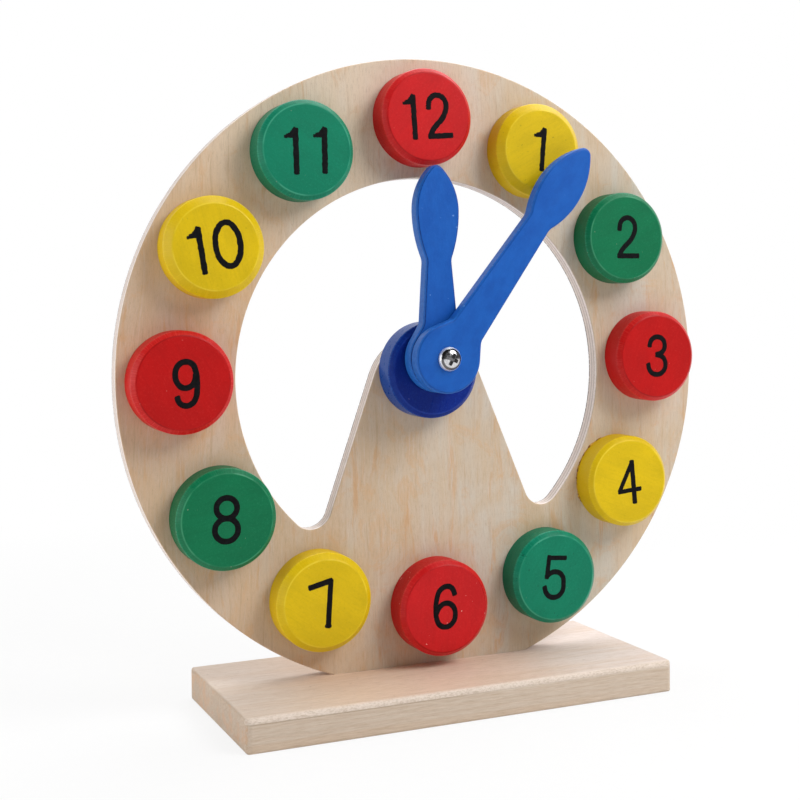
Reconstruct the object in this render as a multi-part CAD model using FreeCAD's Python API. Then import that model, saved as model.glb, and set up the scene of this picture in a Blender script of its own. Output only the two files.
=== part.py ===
"""Wooden teaching clock: plywood dial on a base board, twelve number discs, two hands on one screw.

Millimetres. Origin on the underside of the base board, straight below the ring centre and midway
through the board's depth, +Z up, the dial faces -Y, +X to the reader's right. Every sub-part is one
closed solid, written to parts/NODE.step.
"""
import FreeCAD, Part
import math
import os

Vector = FreeCAD.Vector

# ---------------------------------------------------------------- driving dimensions
# Base board
BASE_LENGTH = 141.0          # along X
BASE_DEPTH = 64.0            # along Y
BASE_THICKNESS = 10.0
BASE_SHIFT_X = -1.1          # middle of the base from the ring centre
BASE_FRONT_ROUND = 2.2       # upper front arris, rounded most
BASE_EDGE_ROUND = 1.2        # the other three long arrises
BASE_END_ROUND = 1.0         # sanded round each end
FRONT_LEDGE = 34.1           # base front edge to the front face of the dial plate

# Dial plate, cut from three-ply
PLATE_THICKNESS = 5.3
RING_RADIUS = 100.0
FOOT_WIDTH = 68.0            # flat chord that rests on the base
WINDOW_DROP = 1.0            # window centre below ring centre, so the rim is deepest over the 12
WINDOW_SHIFT_X = -1.0        # window and post together, from the ring centre
WINDOW_TURN_DEG = 1.6        # window and post together are sawn turned a little anticlockwise
PLATE_EASE = 0.4             # sanded arrises, as a small chamfer
POST_HALF_WIDTH = 18.1       # post at the height of the ring centre
POST_FLARE_DEG = 20.9        # each side leans out by this much towards the foot
POST_CROWN_DROP = 7.0        # centre of the post's rounded top below the ring centre
CROTCH_RADIUS = 6.5          # inner corner between post and ring
TONGUE_SHOULDER = 5.0        # foot that stays on the base at each end of the tongue
TONGUE_DEPTH = 5.0           # tongue below the top of the base
TONGUE_FIT = 0.1             # glue gap round the tongue

# Number discs and hub: thirteen blanks from one turned rod
DISC_RADIUS = 15.3
DISC_THICKNESS = 9.2
DISC_CHAMFER = 1.5
WIDE_CHAMFER = 2.4
WIDE_CHAMFERED = (1, 7, 10)  # numbers whose discs were chamfered deeper
DISC_COUNT = 12
RIM_MARGIN = 4.0             # disc edge to ring edge
WINDOW_MARGIN = 2.4          # disc edge to window edge
SIX_CLEARANCE = 3.5          # the lowest disc is glued this far above the base
DIAL_TURN_DEG = 1.5          # the discs are glued on turned a little anticlockwise
DIAL_SHIFT_X = -1.0          # middle of the circle of discs from the ring centre
DIAL_SHIFT_Z = 0.5
# Discs are glued on by eye: how far each one sits off its mark, as (x, z)
GLUED_OFF = {1: (-1.0, 0.2), 2: (1.0, 0.6), 3: (1.0, 0.4), 4: (-0.6, -1.0), 5: (-0.3, -0.6),
             7: (0.5, 1.0), 8: (0.4, 0.0), 9: (-0.3, 0.9), 11: (-0.4, -0.7), 12: (-0.4, -0.6)}
HUB_SHIFT_X = -2.2           # hub centre from ring centre
HUB_SHIFT_Z = 0.7
PIVOT_RISE = 3.9             # screw axis above hub centre

# Hands
HAND_THICKNESS = 5.0
BOSS_RADIUS = 10.8
ARM_ROOT_HALF = 5.9          # half width where the arm leaves the boss
NECK_HALF = 4.3              # half width where the arm meets the leaf
LEAF_HALF = 7.3              # half width at the belly of the leaf
LEAF_LENGTH = 29.5           # neck to tip
TIP_RADIUS = 2.5
SHOULDER_FILLET = 3.0        # between boss and arm
NECK_FILLET = 4.0            # between arm and leaf
HAND_EDGE_ROUND = 0.9
HOUR_REACH = 60.3            # screw axis to tip
HOUR_BELLY_RISE = 15.3       # neck to belly
HOUR_ANGLE_DEG = -1.0        # clockwise from twelve
MINUTE_REACH = 83.2
MINUTE_BELLY_RISE = 12.8
MINUTE_ANGLE_DEG = 37.0

# Pivot screw and friction washers
SCREW_RADIUS = 1.95
SCREW_LENGTH = 22.0          # under the head
SCREW_POINT = 3.0            # length of the tapered end
SCREW_TIP_RADIUS = 0.4
HEAD_RADIUS = 3.75
HEAD_HEIGHT = 2.4
HEAD_ROUND = 1.5
RECESS_SPAN = 4.0            # cross recess, tip to tip
RECESS_WIDTH = 0.9
RECESS_DEPTH = 1.4
PILOT_GAP = 0.02             # hub and plate holes over the screw, radial
PILOT_RELIEF = 0.5           # hole depth past the screw's point
BORE_GAP = 0.06              # hand and washer bores over the screw, radial
WASHER_RADIUS = 4.6
WASHER_THICKNESS = 0.5
SLIDE_GAP = 0.05             # free play at each sliding face

# ---------------------------------------------------------------- places worked out from them
UP = Vector(0, 0, 1)
BACK = Vector(0, 1, 0)

PLATE_FRONT = FRONT_LEDGE - BASE_DEPTH / 2
FOOT_DROP = math.sqrt(RING_RADIUS ** 2 - (FOOT_WIDTH / 2) ** 2)
RING_CENTRE = Vector(0, PLATE_FRONT, BASE_THICKNESS + FOOT_DROP)
PITCH_RADIUS = RING_RADIUS - RIM_MARGIN - DISC_RADIUS
WINDOW_RADIUS = PITCH_RADIUS - DISC_RADIUS - WINDOW_MARGIN
LOWEST_PITCH = FOOT_DROP + DIAL_SHIFT_Z - SIX_CLEARANCE - DISC_RADIUS
LOWEST_DISC = DISC_COUNT // 2

HUB_CENTRE = RING_CENTRE + Vector(HUB_SHIFT_X, 0, HUB_SHIFT_Z)
PIVOT = HUB_CENTRE + Vector(0, 0, PIVOT_RISE)
BORE_RADIUS = SCREW_RADIUS + BORE_GAP

# Stack in front of the plate, each face measured forward from the plate's front
HUB_FACE = DISC_THICKNESS
HUB_WASHER_BACK = HUB_FACE + SLIDE_GAP
HOUR_BACK = HUB_WASHER_BACK + WASHER_THICKNESS + SLIDE_GAP
HOUR_FACE = HOUR_BACK + HAND_THICKNESS
HAND_WASHER_BACK = HOUR_FACE + SLIDE_GAP
MINUTE_BACK = HAND_WASHER_BACK + WASHER_THICKNESS + SLIDE_GAP
MINUTE_FACE = MINUTE_BACK + HAND_THICKNESS
HEAD_BACK = MINUTE_FACE + SLIDE_GAP


# ---------------------------------------------------------------- helpers
def forward(centre, distance):
    """The point that far in front of the plate's front face, on the axis through centre."""
    return Vector(centre.x, PLATE_FRONT - distance, centre.z)


def in_dial(x, z):
    """A point on the plate's front face, from the ring centre."""
    return RING_CENTRE + Vector(x, 0, z)


def line(start, end):
    return Part.LineSegment(start, end).toShape()


def arc(start, middle, end):
    return Part.Arc(start, middle, end).toShape()


def rod(centre, radius, back_distance, thickness):
    """Cylinder along Y whose back is back_distance in front of the plate."""
    return Part.makeCylinder(radius, thickness, forward(centre, back_distance + thickness), BACK)


def upright_edges(shape, points):
    """Edges parallel to Y that pass through the given (x, z) places."""
    found = []
    for edge in shape.Edges:
        ends = [vertex.Point for vertex in edge.Vertexes]
        if len(ends) != 2 or abs(ends[0].y - ends[1].y) < 1e-3:
            continue
        for point in points:
            near = [math.hypot(end.x - point.x, end.z - point.z) < 1e-3 for end in ends]
            if all(near):
                found.append(edge)
    return found


def face_outline(shape, y):
    """Edges that lie wholly in the plane at y."""
    return [edge for edge in shape.Edges
            if abs(edge.BoundBox.YMin - y) < 1e-3 and abs(edge.BoundBox.YMax - y) < 1e-3]


def end_outline(shape, x):
    """Edges that lie wholly in the plane at x."""
    return [edge for edge in shape.Edges
            if abs(edge.BoundBox.XMin - x) < 1e-3 and abs(edge.BoundBox.XMax - x) < 1e-3]


# ---------------------------------------------------------------- base board
def base_board():
    """Strip with rounded long arrises, cut to length, sanded round its ends and slotted for the tongue."""
    left = BASE_SHIFT_X - BASE_LENGTH / 2
    board = Part.makeBox(BASE_LENGTH, BASE_DEPTH, BASE_THICKNESS, Vector(left, -BASE_DEPTH / 2, 0))
    lengths = [edge for edge in board.Edges if edge.BoundBox.XLength > BASE_LENGTH / 2]
    others = [edge for edge in lengths if edge.BoundBox.YMin > 0 or edge.BoundBox.ZMax < 1e-3]
    board = board.makeFillet(BASE_EDGE_ROUND, others)
    front = [edge for edge in board.Edges if edge.BoundBox.XLength > BASE_LENGTH / 2
             and edge.BoundBox.YMax < BASE_EDGE_ROUND - BASE_DEPTH / 2
             and edge.BoundBox.ZMin > BASE_THICKNESS - 1e-3]
    board = board.makeFillet(BASE_FRONT_ROUND, front)
    ends = end_outline(board, left) + end_outline(board, left + BASE_LENGTH)
    return board.makeFillet(BASE_END_ROUND, ends).cut(tongue_slot())


def tongue_slot():
    """Round-ended slot: its straight part takes the tongue, its ends are the cutter's radius."""
    half_width = PLATE_THICKNESS / 2 + TONGUE_FIT
    half_straight = FOOT_WIDTH / 2 - TONGUE_SHOULDER
    middle = PLATE_FRONT + PLATE_THICKNESS / 2
    floor = BASE_THICKNESS - TONGUE_DEPTH - TONGUE_FIT
    depth = TONGUE_DEPTH + TONGUE_FIT
    corner = Vector(-half_straight, middle - half_width, floor)
    slot = Part.makeBox(2 * half_straight, 2 * half_width, depth, corner)
    for side in (-half_straight, half_straight):
        slot = slot.fuse(Part.makeCylinder(half_width, depth, Vector(side, middle, floor), UP))
    return slot


# ---------------------------------------------------------------- dial plate
def plate_outline():
    """Ring edge as one arc down to the foot, then the foot with its tongue."""
    half_foot = FOOT_WIDTH / 2
    half_tongue = half_foot - TONGUE_SHOULDER
    right = in_dial(half_foot, -FOOT_DROP)
    left = in_dial(-half_foot, -FOOT_DROP)
    corners = [left,
               in_dial(-half_tongue, -FOOT_DROP),
               in_dial(-half_tongue, -FOOT_DROP - TONGUE_DEPTH),
               in_dial(half_tongue, -FOOT_DROP - TONGUE_DEPTH),
               in_dial(half_tongue, -FOOT_DROP),
               right]
    edges = [arc(right, in_dial(0, RING_RADIUS), left)]
    edges += [line(start, end) for start, end in zip(corners, corners[1:])]
    return Part.Wire(edges)


def crotch_place():
    """Where the right side of the post meets the window circle, from the ring centre."""
    slope = math.tan(math.radians(POST_FLARE_DEG))
    # x = POST_HALF_WIDTH - slope * z meets x^2 + (z + WINDOW_DROP)^2 = WINDOW_RADIUS^2
    a = 1 + slope ** 2
    b = 2 * (WINDOW_DROP - slope * POST_HALF_WIDTH)
    c = POST_HALF_WIDTH ** 2 + WINDOW_DROP ** 2 - WINDOW_RADIUS ** 2
    z = (-b - math.sqrt(b * b - 4 * a * c)) / (2 * a)
    return POST_HALF_WIDTH - slope * z, z


def window_cutter():
    """The round window less the flared post, through the plate, with its two inner corners rounded.

    It is drawn about the ring centre, and then turned and shifted as one.
    """
    flare = math.radians(POST_FLARE_DEG)
    crown = (POST_HALF_WIDTH + POST_CROWN_DROP * math.tan(flare)) * math.cos(flare)
    tangent_x = crown * math.cos(flare)
    tangent_z = crown * math.sin(flare) - POST_CROWN_DROP
    crotch_x, crotch_z = crotch_place()
    right_crotch = in_dial(crotch_x, crotch_z)
    left_crotch = in_dial(-crotch_x, crotch_z)
    outline = Part.Wire([
        arc(right_crotch, in_dial(0, WINDOW_RADIUS - WINDOW_DROP), left_crotch),
        line(left_crotch, in_dial(-tangent_x, tangent_z)),
        arc(in_dial(-tangent_x, tangent_z), in_dial(0, crown - POST_CROWN_DROP),
            in_dial(tangent_x, tangent_z)),
        line(in_dial(tangent_x, tangent_z), right_crotch)])
    cutter = Part.Face(outline).extrude(BACK * PLATE_THICKNESS)
    cutter = cutter.makeFillet(CROTCH_RADIUS, upright_edges(cutter, [right_crotch, left_crotch]))
    cutter.rotate(RING_CENTRE, BACK, -WINDOW_TURN_DEG)
    cutter.translate(Vector(WINDOW_SHIFT_X, 0, 0))
    return cutter


def dial_plate():
    """Ring, foot and post in one piece, with the blind pilot hole for the screw."""
    blank = Part.Face(plate_outline()).extrude(BACK * PLATE_THICKNESS)
    plate = blank.cut(window_cutter())
    sanded = [edge for edge in face_outline(plate, PLATE_FRONT)
              + face_outline(plate, PLATE_FRONT + PLATE_THICKNESS)
              if edge.BoundBox.ZMin > BASE_THICKNESS - 1e-3 and edge.BoundBox.ZLength > 1e-3]
    plate = plate.makeChamfer(PLATE_EASE, sanded)
    depth = SCREW_LENGTH - HEAD_BACK + PILOT_RELIEF
    return plate.cut(Part.makeCylinder(SCREW_RADIUS + PILOT_GAP, depth, PIVOT, BACK))


# ---------------------------------------------------------------- discs and hub
def disc_blank(centre, chamfer):
    """Turned disc, flat against the plate, with a chamfer round its face."""
    blank = rod(centre, DISC_RADIUS, 0, DISC_THICKNESS)
    return blank.makeChamfer(chamfer, face_outline(blank, PLATE_FRONT - DISC_THICKNESS))


def disc_centre(number):
    """Place of a number on the dial, counted clockwise, twelve at the top."""
    angle = math.radians(number * 360 / DISC_COUNT - DIAL_TURN_DEG)
    pitch = LOWEST_PITCH if number == LOWEST_DISC else PITCH_RADIUS
    off_x, off_z = GLUED_OFF.get(number, (0, 0))
    return in_dial(DIAL_SHIFT_X + pitch * math.sin(angle) + off_x,
                   DIAL_SHIFT_Z + pitch * math.cos(angle) + off_z)


def number_disc(number):
    chamfer = WIDE_CHAMFER if number in WIDE_CHAMFERED else DISC_CHAMFER
    return disc_blank(disc_centre(number), chamfer)


def hub_block():
    """Thirteenth blank, on the post, with the pilot hole above its centre."""
    pilot = rod(PIVOT, SCREW_RADIUS + PILOT_GAP, 0, DISC_THICKNESS)
    return disc_blank(HUB_CENTRE, DISC_CHAMFER).cut(pilot)


# ---------------------------------------------------------------- hands
def hand_half(reach, belly_rise):
    """Points of the right half of a hand that points up, as (across, along) from the screw axis."""
    neck = reach - LEAF_LENGTH
    belly = neck + belly_rise
    root = (ARM_ROOT_HALF, BOSS_RADIUS)
    # The cheek runs from the arm's root to its tangent point on the boss
    lean = math.atan2(root[1], root[0]) - math.acos(BOSS_RADIUS / math.hypot(*root))
    cheek = (BOSS_RADIUS * math.cos(lean), BOSS_RADIUS * math.sin(lean))
    # Lower flank: an arc through the neck, upright at the belly
    rise, swell = belly - neck, LEAF_HALF - NECK_HALF
    lower = (rise ** 2 + swell ** 2) / (2 * swell)
    half_sweep = math.asin(rise / lower) / 2
    flank_low = (LEAF_HALF - lower * (1 - math.cos(half_sweep)), belly - lower * math.sin(half_sweep))
    # Upper flank: upright at the belly, tangent to the tip circle
    climb = reach - belly - TIP_RADIUS
    upper = (LEAF_HALF ** 2 - TIP_RADIUS ** 2 + climb ** 2) / (2 * (LEAF_HALF - TIP_RADIUS))
    sweep = math.atan2(climb, upper - LEAF_HALF)
    flank_high = (LEAF_HALF - upper * (1 - math.cos(sweep / 2)), belly + upper * math.sin(sweep / 2))
    tip_start = (TIP_RADIUS * math.cos(sweep), reach - TIP_RADIUS + TIP_RADIUS * math.sin(sweep))
    return {"cheek": cheek, "root": root, "neck": (NECK_HALF, neck), "flank_low": flank_low,
            "belly": (LEAF_HALF, belly), "flank_high": flank_high, "tip_start": tip_start}


def hand(reach, belly_rise, back_distance, angle_deg):
    """Boss, tapered arm and leaf in one flat piece with rounded edges, bored for the screw."""
    half = hand_half(reach, belly_rise)
    axis = forward(PIVOT, back_distance)

    def at(name, side):
        across, along = half[name]
        return axis + Vector(side * across, 0, along)

    def flank(side):
        return [line(at("cheek", side), at("root", side)),
                line(at("root", side), at("neck", side)),
                arc(at("neck", side), at("flank_low", side), at("belly", side)),
                arc(at("belly", side), at("flank_high", side), at("tip_start", side))]

    tip = arc(at("tip_start", 1), axis + Vector(0, 0, reach), at("tip_start", -1))
    boss = arc(at("cheek", -1), axis - UP * BOSS_RADIUS, at("cheek", 1))
    outline = Part.Wire(flank(1) + [tip] + flank(-1)[::-1] + [boss])
    body = Part.Face(outline).extrude(-BACK * HAND_THICKNESS)
    body = body.makeFillet(SHOULDER_FILLET, upright_edges(body, [at("root", 1), at("root", -1)]))
    body = body.makeFillet(NECK_FILLET, upright_edges(body, [at("neck", 1), at("neck", -1)]))
    rims = face_outline(body, axis.y) + face_outline(body, axis.y - HAND_THICKNESS)
    body = body.makeFillet(HAND_EDGE_ROUND, rims)
    body = body.cut(rod(PIVOT, BORE_RADIUS, back_distance, HAND_THICKNESS))
    body.rotate(axis, BACK, angle_deg)
    return body


# ---------------------------------------------------------------- screw and washers
def washer(back_distance):
    ring = rod(PIVOT, WASHER_RADIUS, back_distance, WASHER_THICKNESS)
    return ring.cut(rod(PIVOT, BORE_RADIUS, back_distance, WASHER_THICKNESS))


def pivot_screw():
    """Pan head with a cross recess, plain shank and tapered point."""
    head = rod(PIVOT, HEAD_RADIUS, HEAD_BACK, HEAD_HEIGHT)
    crown_y = PLATE_FRONT - HEAD_BACK - HEAD_HEIGHT
    head = head.makeFillet(HEAD_ROUND, face_outline(head, crown_y))
    crown = forward(PIVOT, HEAD_BACK + HEAD_HEIGHT)
    for long_x, long_z in ((RECESS_SPAN, RECESS_WIDTH), (RECESS_WIDTH, RECESS_SPAN)):
        corner = crown - Vector(long_x / 2, 0, long_z / 2)
        head = head.cut(Part.makeBox(long_x, RECESS_DEPTH, long_z, corner))
    straight = SCREW_LENGTH - SCREW_POINT
    shank = Part.makeCylinder(SCREW_RADIUS, straight, forward(PIVOT, HEAD_BACK), BACK)
    point_start = forward(PIVOT, HEAD_BACK - straight)
    point = Part.makeCone(SCREW_RADIUS, SCREW_TIP_RADIUS, SCREW_POINT, point_start, BACK)
    return head.fuse([shank, point]).removeSplitter()


# ---------------------------------------------------------------- all sub-parts
def build():
    nodes = {"base_board": base_board(), "dial_plate": dial_plate()}
    for number in range(1, DISC_COUNT + 1):
        nodes["number_disc_%02d" % number] = number_disc(number)
    nodes["hub_block"] = hub_block()
    nodes["hub_washer"] = washer(HUB_WASHER_BACK)
    nodes["hour_hand"] = hand(HOUR_REACH, HOUR_BELLY_RISE, HOUR_BACK, HOUR_ANGLE_DEG)
    nodes["hand_washer"] = washer(HAND_WASHER_BACK)
    nodes["minute_hand"] = hand(MINUTE_REACH, MINUTE_BELLY_RISE, MINUTE_BACK, MINUTE_ANGLE_DEG)
    nodes["pivot_screw"] = pivot_screw()
    return nodes


os.makedirs("parts", exist_ok=True)
for node, shape in build().items():
    shape.exportStep("parts/%s.step" % node)
    print("%-15s volume %9.1f mm3, %d solid, valid %s"
          % (node, shape.Volume, len(shape.Solids), shape.isValid()))
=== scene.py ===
# %% [markdown]
# # A wooden teaching clock
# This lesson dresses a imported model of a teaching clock: a thin plywood dial that stands in a flat base,
# twelve turned and painted discs with black numbers, a hub, and two hands that turn on one screw. The packed
# model fixes every size and joint. Each visible piece is modelled over its solid and gets its own finish.
# We start by loading the model. It arrives in metres, standing on z = 0 and facing -Y.

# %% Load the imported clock
import math

import bmesh
import bpy
from mathutils import Matrix, Vector


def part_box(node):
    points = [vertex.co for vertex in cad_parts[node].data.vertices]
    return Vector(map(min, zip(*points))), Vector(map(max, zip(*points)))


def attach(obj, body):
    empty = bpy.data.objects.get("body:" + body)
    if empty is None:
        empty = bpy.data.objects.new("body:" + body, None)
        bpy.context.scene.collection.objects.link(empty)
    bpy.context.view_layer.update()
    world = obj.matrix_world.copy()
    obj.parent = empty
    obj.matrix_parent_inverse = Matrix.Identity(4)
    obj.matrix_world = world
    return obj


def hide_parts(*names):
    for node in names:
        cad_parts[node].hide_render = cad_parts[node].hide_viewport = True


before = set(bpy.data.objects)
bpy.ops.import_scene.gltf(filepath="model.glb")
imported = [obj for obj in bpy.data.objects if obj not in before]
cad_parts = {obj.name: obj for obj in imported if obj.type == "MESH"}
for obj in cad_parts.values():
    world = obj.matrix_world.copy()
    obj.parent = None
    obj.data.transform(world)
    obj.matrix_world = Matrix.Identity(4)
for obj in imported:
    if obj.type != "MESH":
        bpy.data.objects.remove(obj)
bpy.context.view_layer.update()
MM = 0.001

# %% [markdown]
# ## Sizes
# A few sizes drive the whole clock, and they are the ones a maker would mark out: the board, the ring, the
# rod that the discs are cut from and the pattern of the hands. Everything else is worked out from them or
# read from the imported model, so a piece always lands on its solid.

# %% Sizes of the board and the dial
BOARD_FRONT_ROUND = 1.6 * MM
BOARD_EDGE_ROUND = 0.8 * MM
BOARD_CORNER_ROUND = 1.9 * MM
PLY_THICKNESS = 5.3 * MM
RING_RADIUS = 100 * MM
FOOT_WIDTH = 68 * MM
WINDOW_RADIUS = 63.0 * MM
WINDOW_DROP = 1.0 * MM
WINDOW_SHIFT = -1.0 * MM
WINDOW_TURN = math.radians(1.6)
POST_HALF_WIDTH = 18.1 * MM
POST_FLARE = math.radians(20.9)
POST_CROWN_DROP = 7.0 * MM
CROTCH_RADIUS = 6.5 * MM
TONGUE_SHOULDER = 5.0 * MM
TONGUE_DEPTH = 5.0 * MM
TONGUE_FIT = 0.1 * MM
PLY_EASE = 0.4 * MM

base_low, base_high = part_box("base_board")
board_size = base_high - base_low
board_centre = (base_low + base_high) / 2
board_top = base_high.z
dial_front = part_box("dial_plate")[0].y
foot_drop = math.sqrt(RING_RADIUS ** 2 - (FOOT_WIDTH / 2) ** 2)
ring_centre = Vector((0, dial_front, board_top + foot_drop))
window_centre = ring_centre - Vector((0, 0, WINDOW_DROP))
print("ring centre stands", round(ring_centre.z / MM, 2), "mm above the table")

# %% Sizes of the discs, the hands and the screw
DISC_RADIUS = 15.3 * MM
DISC_CHAMFER = 1.5 * MM
WIDE_CHAMFERS = {1: 2.4 * MM, 7: 2.0 * MM, 10: 2.4 * MM}
DISC_SOFTENING = 0.35 * MM
PIVOT_RISE = 3.9 * MM
BOSS_RADIUS = 10.8 * MM
ARM_ROOT_HALF = 5.9 * MM
NECK_HALF = 4.3 * MM
LEAF_HALF = 7.3 * MM
LEAF_LENGTH = 29.5 * MM
TIP_RADIUS = 2.5 * MM
SHOULDER_FILLET = 3.0 * MM
NECK_FILLET = 4.0 * MM
HAND_EDGE_ROUND = 0.9 * MM
SHORT_REACH, SHORT_BELLY_RISE, SHORT_TURN = 60.3 * MM, 15.3 * MM, math.radians(-1)
LONG_REACH, LONG_BELLY_RISE, LONG_TURN = 83.2 * MM, 12.8 * MM, math.radians(37)
BORE_RADIUS = 2.01 * MM

disc_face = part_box("number_disc_12")[0].y
disc_thickness = dial_front - disc_face
hub_low, hub_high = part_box("hub_block")
hub_centre = Vector(((hub_low.x + hub_high.x) / 2, dial_front, (hub_low.z + hub_high.z) / 2))
pivot = hub_centre + Vector((0, 0, PIVOT_RISE))
print("hands turn about x", round(pivot.x / MM, 2), "z", round(pivot.z / MM, 2), "mm")


# %% [markdown]
# ## Working by hand in code
# Operators act on whatever is selected, so every piece starts from a clean slate. In edit mode we then pick
# the points, edges or faces that we want by asking where they are, just as the eye would. An outline is
# drawn like a draftsman draws it: one point is swept round a centre for an arc or pushed along for a line.

# %% Helpers for selecting
SEAM = 0.0005 * MM


def clean_slate(piece=None):
    """Object mode with nothing selected, or with just one piece."""
    if bpy.context.object and bpy.context.object.mode != "OBJECT":
        leave_edit()
    bpy.ops.object.select_all(action="DESELECT")
    if piece:
        bpy.context.view_layer.objects.active = piece
        piece.select_set(True)


def edit():
    bpy.ops.object.mode_set(mode="EDIT")


def leave_edit():
    bpy.ops.object.mode_set(mode="OBJECT")
    return bpy.context.object


def settle():
    """Makes the object's place, turn and size part of its mesh."""
    bpy.ops.object.transform_apply(location=True, rotation=True, scale=True)
    return bpy.context.object


def select_all():
    bpy.ops.mesh.select_all(action="SELECT")


def merge_doubles():
    select_all()
    bpy.ops.mesh.remove_doubles(threshold=SEAM)


def face_outwards():
    select_all()
    bpy.ops.mesh.normals_make_consistent(inside=False)


def pick(kind, wanted):
    """In edit mode, selects just the "verts", "edges" or "faces" that pass the test."""
    bpy.ops.mesh.select_mode(type={"verts": "VERT", "edges": "EDGE", "faces": "FACE"}[kind])
    bpy.ops.mesh.select_all(action="DESELECT")
    sheet = bmesh.from_edit_mesh(bpy.context.object.data)
    for part in getattr(sheet, kind):
        if wanted(part):
            part.select_set(True)
    sheet.select_flush_mode()
    bmesh.update_edit_mesh(bpy.context.object.data)


def all_points(part, wanted):
    return all(wanted(point.co) for point in part.verts)


def is_level(edge):
    """True for an edge whose two ends are equally far back."""
    start, end = edge.verts
    return abs(start.co.y - end.co.y) < SEAM


# %% Helpers for drawing an outline
def start_outline(start):
    """Edit mode on a mesh that is one selected point."""
    clean_slate()
    bpy.ops.mesh.primitive_plane_add(size=MM, location=start)
    settle()
    edit()
    bpy.ops.mesh.select_mode(type="VERT")
    select_all()
    bpy.ops.mesh.merge(type="CENTER")
    return Vector(start)


def line_to(here, there):
    """Pushes the last point along a straight line."""
    bpy.ops.mesh.extrude_vertices_move(TRANSFORM_OT_translate={"value": there - here})
    return there


def arc_about(here, centre, clockwise, steps):
    """Sweeps the last point round a centre, clockwise as seen from the front of the clock."""
    bpy.ops.mesh.spin(steps=steps, angle=-clockwise, center=centre, axis=(0, 1, 0))
    return centre + Matrix.Rotation(clockwise, 3, "Y") @ (here - centre)


def polar(centre, radius, clockwise_from_top):
    return centre + radius * Vector((math.sin(clockwise_from_top), 0, math.cos(clockwise_from_top)))


def mirror_half():
    """Completes an outline that was drawn on the right of x = 0."""
    select_all()
    bpy.ops.mesh.symmetrize(direction="POSITIVE_X", threshold=SEAM)
    merge_doubles()


def turn_profile(steps, centre=(0, 0, 0)):
    """Spins a whole profile about a line along Y, as on a lathe."""
    select_all()
    bpy.ops.mesh.spin(steps=steps, angle=2 * math.pi, center=centre, axis=(0, 1, 0))
    merge_doubles()


def push(offset):
    """Extrudes what is selected."""
    bpy.ops.mesh.extrude_region_move(TRANSFORM_OT_translate={"value": offset})


def turn_about(centre, clockwise, shift=(0, 0, 0)):
    """A turn about a line along Y through a centre, and then a shift."""
    return (Matrix.Translation(centre + Vector(shift)) @ Matrix.Rotation(clockwise, 4, "Y")
            @ Matrix.Translation(-centre))


# %% Helpers for cutting and finishing a piece
SMOOTH_UNDER = math.radians(40)
BORE_STEPS = 48
LIE_BACK = (math.pi / 2, 0, 0)


def apply_modifier(modifier):
    bpy.ops.object.modifier_apply(modifier=modifier.name)


def cut_with(piece, cutter):
    """Cuts one piece with another, which is then thrown away."""
    clean_slate(piece)
    saw = piece.modifiers.new("saw", "BOOLEAN")
    saw.operation = "DIFFERENCE"
    saw.solver = "EXACT"
    saw.object = cutter
    apply_modifier(saw)
    bpy.data.objects.remove(cutter)


def drill(piece, place, radius, depth):
    """Bores a round hole along Y."""
    clean_slate()
    bpy.ops.mesh.primitive_cylinder_add(vertices=BORE_STEPS, radius=radius, depth=depth, location=place,
                                        rotation=LIE_BACK)
    cut_with(piece, bpy.context.object)


def tidy_mesh(piece):
    """Applies the place, merges doubled points, points faces outwards and smooths soft corners."""
    clean_slate(piece)
    settle()
    edit()
    merge_doubles()
    face_outwards()
    leave_edit()
    bpy.ops.object.shade_smooth_by_angle(angle=SMOOTH_UNDER)
    flats = piece.modifiers.new("even flats", "WEIGHTED_NORMAL")
    flats.keep_sharp = True
    apply_modifier(flats)
    return piece


def round_line(points, radii, thickness, smoothness, sides, closed=False):
    """A smooth curve through some points, as a round tube that swells and narrows."""
    bpy.ops.curve.primitive_bezier_curve_add(location=(0, 0, 0))
    line = bpy.context.object
    spline = line.data.splines[0]
    spline.bezier_points.add(len(points) - 2)
    for knot, point, radius in zip(spline.bezier_points, points, radii):
        knot.co = point
        knot.handle_left_type = knot.handle_right_type = "AUTO"
        knot.radius = radius
    spline.use_cyclic_u = closed
    line.data.resolution_u = smoothness
    line.data.bevel_depth = thickness
    line.data.bevel_resolution = sides
    line.data.use_fill_caps = True
    bpy.ops.object.convert(target="MESH")
    return bpy.context.object


def dress(piece, name, body, finish, node=None):
    """Names a finished piece, gives it its finish and hangs it on its body in place of its solid."""
    piece.name = name
    piece.data.materials.clear()
    piece.data.materials.append(finish)
    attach(piece, body)
    points = [corner.co for corner in piece.data.vertices]
    print("%-18s %6d points" % (name, len(points)))
    if node:
        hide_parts(node)
        gap = max(abs(outermost(point[i] for point in points) - corner[i])
                  for outermost, corner in zip((min, max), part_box(node)) for i in range(3))
        print("%18s %.2f mm off its solid's box" % ("", gap / MM))


# %% [markdown]
# ## Mixing a finish
# Every finish is a node tree. Patterns read Object coordinates, turned into millimetres, so the grain stays
# in the wood when a piece moves. This small helper adds one node at a time and returns what comes out of it,
# which keeps the recipes below short enough to read like a list of ingredients.

# %% A helper that mixes nodes
def paint_code(red, green, blue):
    """An everyday 0 to 255 colour as the linear colour that a shader wants."""
    def linear(value):
        value /= 255
        return value / 12.92 if value <= 0.04045 else ((value + 0.055) / 1.055) ** 2.4
    return (linear(red), linear(green), linear(blue), 1)


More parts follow.
